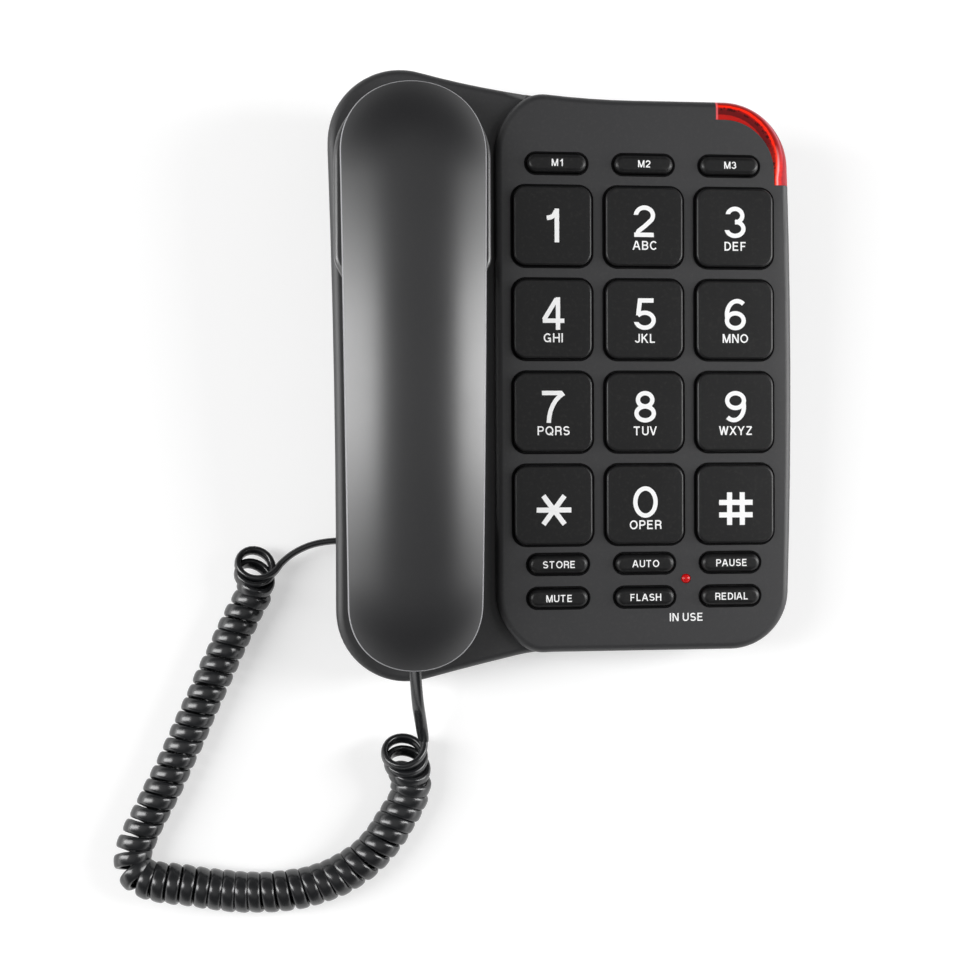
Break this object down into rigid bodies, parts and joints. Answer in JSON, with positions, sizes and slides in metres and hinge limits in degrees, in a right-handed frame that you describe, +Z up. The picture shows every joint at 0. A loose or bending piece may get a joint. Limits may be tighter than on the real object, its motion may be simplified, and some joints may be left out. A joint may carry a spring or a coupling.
{
  "type": "corded desk telephone",
  "caption": "Corded desk telephone with a sloped key panel, large dial keys, a handset that lifts from its cradle, a hook switch, a ring light and a coiled cord.",
  "frame": {"origin": "centre of the telephone's footprint on the table, without the cord", "axes": "+X to the user's right, +Y towards the rear edge, +Z up from the table"},
  "size_m": [0.2287, 0.2792, 0.067],
  "materials": {
    "housing": "fine-grained dark grey ABS",
    "keys": "satin near-black ABS key caps",
    "handset": "semi-gloss black ABS",
    "ring_lens": "translucent red acrylic light guide",
    "lamp": "translucent red lamp",
    "key_mat": "silicone rubber with domes",
    "circuit_board": "green glass-fibre board",
    "screws": "zinc-plated steel",
    "feet": "matt black rubber",
    "jacks": "moulded black insulator",
    "plugs": "clear polycarbonate",
    "knobs": "moulded black",
    "steel": "plain steel",
    "cord": "glossy dark grey PVC jacket"
  },
  "bodies": {
    "base": {"ballast_plate": "steel", "base_bottom_shell": "housing", "base_cord_plug": "plugs", "base_handset_jack": "jacks", "base_screws": "screws", "base_top_shell": "housing", "cord_coil": "cord", "cord_tail_base": "cord", "cord_tail_handset": "cord", "corner_lens": "ring_lens", "dial_mode_switch_body": "jacks", "handset_retainer_tab": "housing", "hook_switch": "jacks", "in_use_led": "lamp", "keypad_mat": "key_mat", "line_jack": "jacks", "main_pcb": "circuit_board", "pcb_screws": "screws", "ring_led_board": "circuit_board", "ringer_speaker": "steel", "ringer_switch_body": "jacks", "rubber_feet": "feet"},
    "handset": {"handset_cover": "handset", "handset_front_shell": "handset", "handset_screws": "screws", "ear_receiver": "steel", "mic_capsule": "steel", "mic_boot": "feet", "handset_weight": "steel", "handset_jack": "jacks", "handset_cord_plug": "plugs"},
    "hook_plunger": {"hook_plunger": "knobs"},
    "ringer_switch_knob": {"ringer_switch_knob": "knobs"},
    "dial_mode_switch_knob": {"dial_mode_switch_knob": "knobs"},
    "key_0": {"key_0": "keys"},
    "key_1": {"key_1": "keys"},
    "key_2": {"key_2": "keys"},
    "key_3": {"key_3": "keys"},
    "key_4": {"key_4": "keys"},
    "key_5": {"key_5": "keys"},
    "key_6": {"key_6": "keys"},
    "key_7": {"key_7": "keys"},
    "key_8": {"key_8": "keys"},
    "key_9": {"key_9": "keys"},
    "key_hash": {"key_hash": "keys"},
    "key_star": {"key_star": "keys"},
    "memory_key_1": {"memory_key_1": "keys"},
    "memory_key_2": {"memory_key_2": "keys"},
    "memory_key_3": {"memory_key_3": "keys"},
    "store_key": {"store_key": "keys"},
    "auto_key": {"auto_key": "keys"},
    "pause_key": {"pause_key": "keys"},
    "mute_key": {"mute_key": "keys"},
    "flash_key": {"flash_key": "keys"},
    "redial_key": {"redial_key": "keys"}
  },
  "joints": [
    {"name": "handset_lift", "type": "slide", "parent": "base", "child": "handset", "axis": [0, -0.1305, 0.9914], "range_m": [0, 0.08]},
    {"name": "hook_plunger_slide", "type": "slide", "parent": "base", "child": "hook_plunger", "axis": [0, -0.1305, 0.9914], "range_m": [0, 0.004]},
    {"name": "ringer_switch_slide", "type": "slide", "parent": "base", "child": "ringer_switch_knob", "axis": [0, 0.9914, 0.1305], "range_m": [0, 0.004]},
    {"name": "dial_mode_switch_slide", "type": "slide", "parent": "base", "child": "dial_mode_switch_knob", "axis": [-1, 0, 0], "range_m": [0, 0.004]},
    {"name": "key_0_press", "type": "slide", "parent": "base", "child": "key_0", "axis": [0, 0.1305, -0.9914], "range_m": [0, 0.0015], "stiffness_N_per_m": 900},
    {"name": "key_1_press", "type": "slide", "parent": "base", "child": "key_1", "axis": [0, 0.1305, -0.9914], "range_m": [0, 0.0015], "stiffness_N_per_m": 900},
    {"name": "key_2_press", "type": "slide", "parent": "base", "child": "key_2", "axis": [0, 0.1305, -0.9914], "range_m": [0, 0.0015], "stiffness_N_per_m": 900},
    {"name": "key_3_press", "type": "slide", "parent": "base", "child": "key_3", "axis": [0, 0.1305, -0.9914], "range_m": [0, 0.0015], "stiffness_N_per_m": 900},
    {"name": "key_4_press", "type": "slide", "parent": "base", "child": "key_4", "axis": [0, 0.1305, -0.9914], "range_m": [0, 0.0015], "stiffness_N_per_m": 900},
    {"name": "key_5_press", "type": "slide", "parent": "base", "child": "key_5", "axis": [0, 0.1305, -0.9914], "range_m": [0, 0.0015], "stiffness_N_per_m": 900},
    {"name": "key_6_press", "type": "slide", "parent": "base", "child": "key_6", "axis": [0, 0.1305, -0.9914], "range_m": [0, 0.0015], "stiffness_N_per_m": 900},
    {"name": "key_7_press", "type": "slide", "parent": "base", "child": "key_7", "axis": [0, 0.1305, -0.9914], "range_m": [0, 0.0015], "stiffness_N_per_m": 900},
    {"name": "key_8_press", "type": "slide", "parent": "base", "child": "key_8", "axis": [0, 0.1305, -0.9914], "range_m": [0, 0.0015], "stiffness_N_per_m": 900},
    {"name": "key_9_press", "type": "slide", "parent": "base", "child": "key_9", "axis": [0, 0.1305, -0.9914], "range_m": [0, 0.0015], "stiffness_N_per_m": 900},
    {"name": "key_hash_press", "type": "slide", "parent": "base", "child": "key_hash", "axis": [0, 0.1305, -0.9914], "range_m": [0, 0.0015], "stiffness_N_per_m": 900},
    {"name": "key_star_press", "type": "slide", "parent": "base", "child": "key_star", "axis": [0, 0.1305, -0.9914], "range_m": [0, 0.0015], "stiffness_N_per_m": 900},
    {"name": "memory_key_1_press", "type": "slide", "parent": "base", "child": "memory_key_1", "axis": [0, 0.1305, -0.9914], "range_m": [0, 0.0015], "stiffness_N_per_m": 600},
    {"name": "memory_key_2_press", "type": "slide", "parent": "base", "child": "memory_key_2", "axis": [0, 0.1305, -0.9914], "range_m": [0, 0.0015], "stiffness_N_per_m": 600},
    {"name": "memory_key_3_press", "type": "slide", "parent": "base", "child": "memory_key_3", "axis": [0, 0.1305, -0.9914], "range_m": [0, 0.0015], "stiffness_N_per_m": 600},
    {"name": "store_key_press", "type": "slide", "parent": "base", "child": "store_key", "axis": [0, 0.1305, -0.9914], "range_m": [0, 0.0015], "stiffness_N_per_m": 600},
    {"name": "auto_key_press", "type": "slide", "parent": "base", "child": "auto_key", "axis": [0, 0.1305, -0.9914], "range_m": [0, 0.0015], "stiffness_N_per_m": 600},
    {"name": "pause_key_press", "type": "slide", "parent": "base", "child": "pause_key", "axis": [0, 0.1305, -0.9914], "range_m": [0, 0.0015], "stiffness_N_per_m": 600},
    {"name": "mute_key_press", "type": "slide", "parent": "base", "child": "mute_key", "axis": [0, 0.1305, -0.9914], "range_m": [0, 0.0015], "stiffness_N_per_m": 600},
    {"name": "flash_key_press", "type": "slide", "parent": "base", "child": "flash_key", "axis": [0, 0.1305, -0.9914], "range_m": [0, 0.0015], "stiffness_N_per_m": 600},
    {"name": "redial_key_press", "type": "slide", "parent": "base", "child": "redial_key", "axis": [0, 0.1305, -0.9914], "range_m": [0, 0.0015], "stiffness_N_per_m": 600}
  ],
  "couplings": [
    {"joint": "hook_plunger_slide", "follows": "handset_lift", "ratio": 0.05}
  ]
}
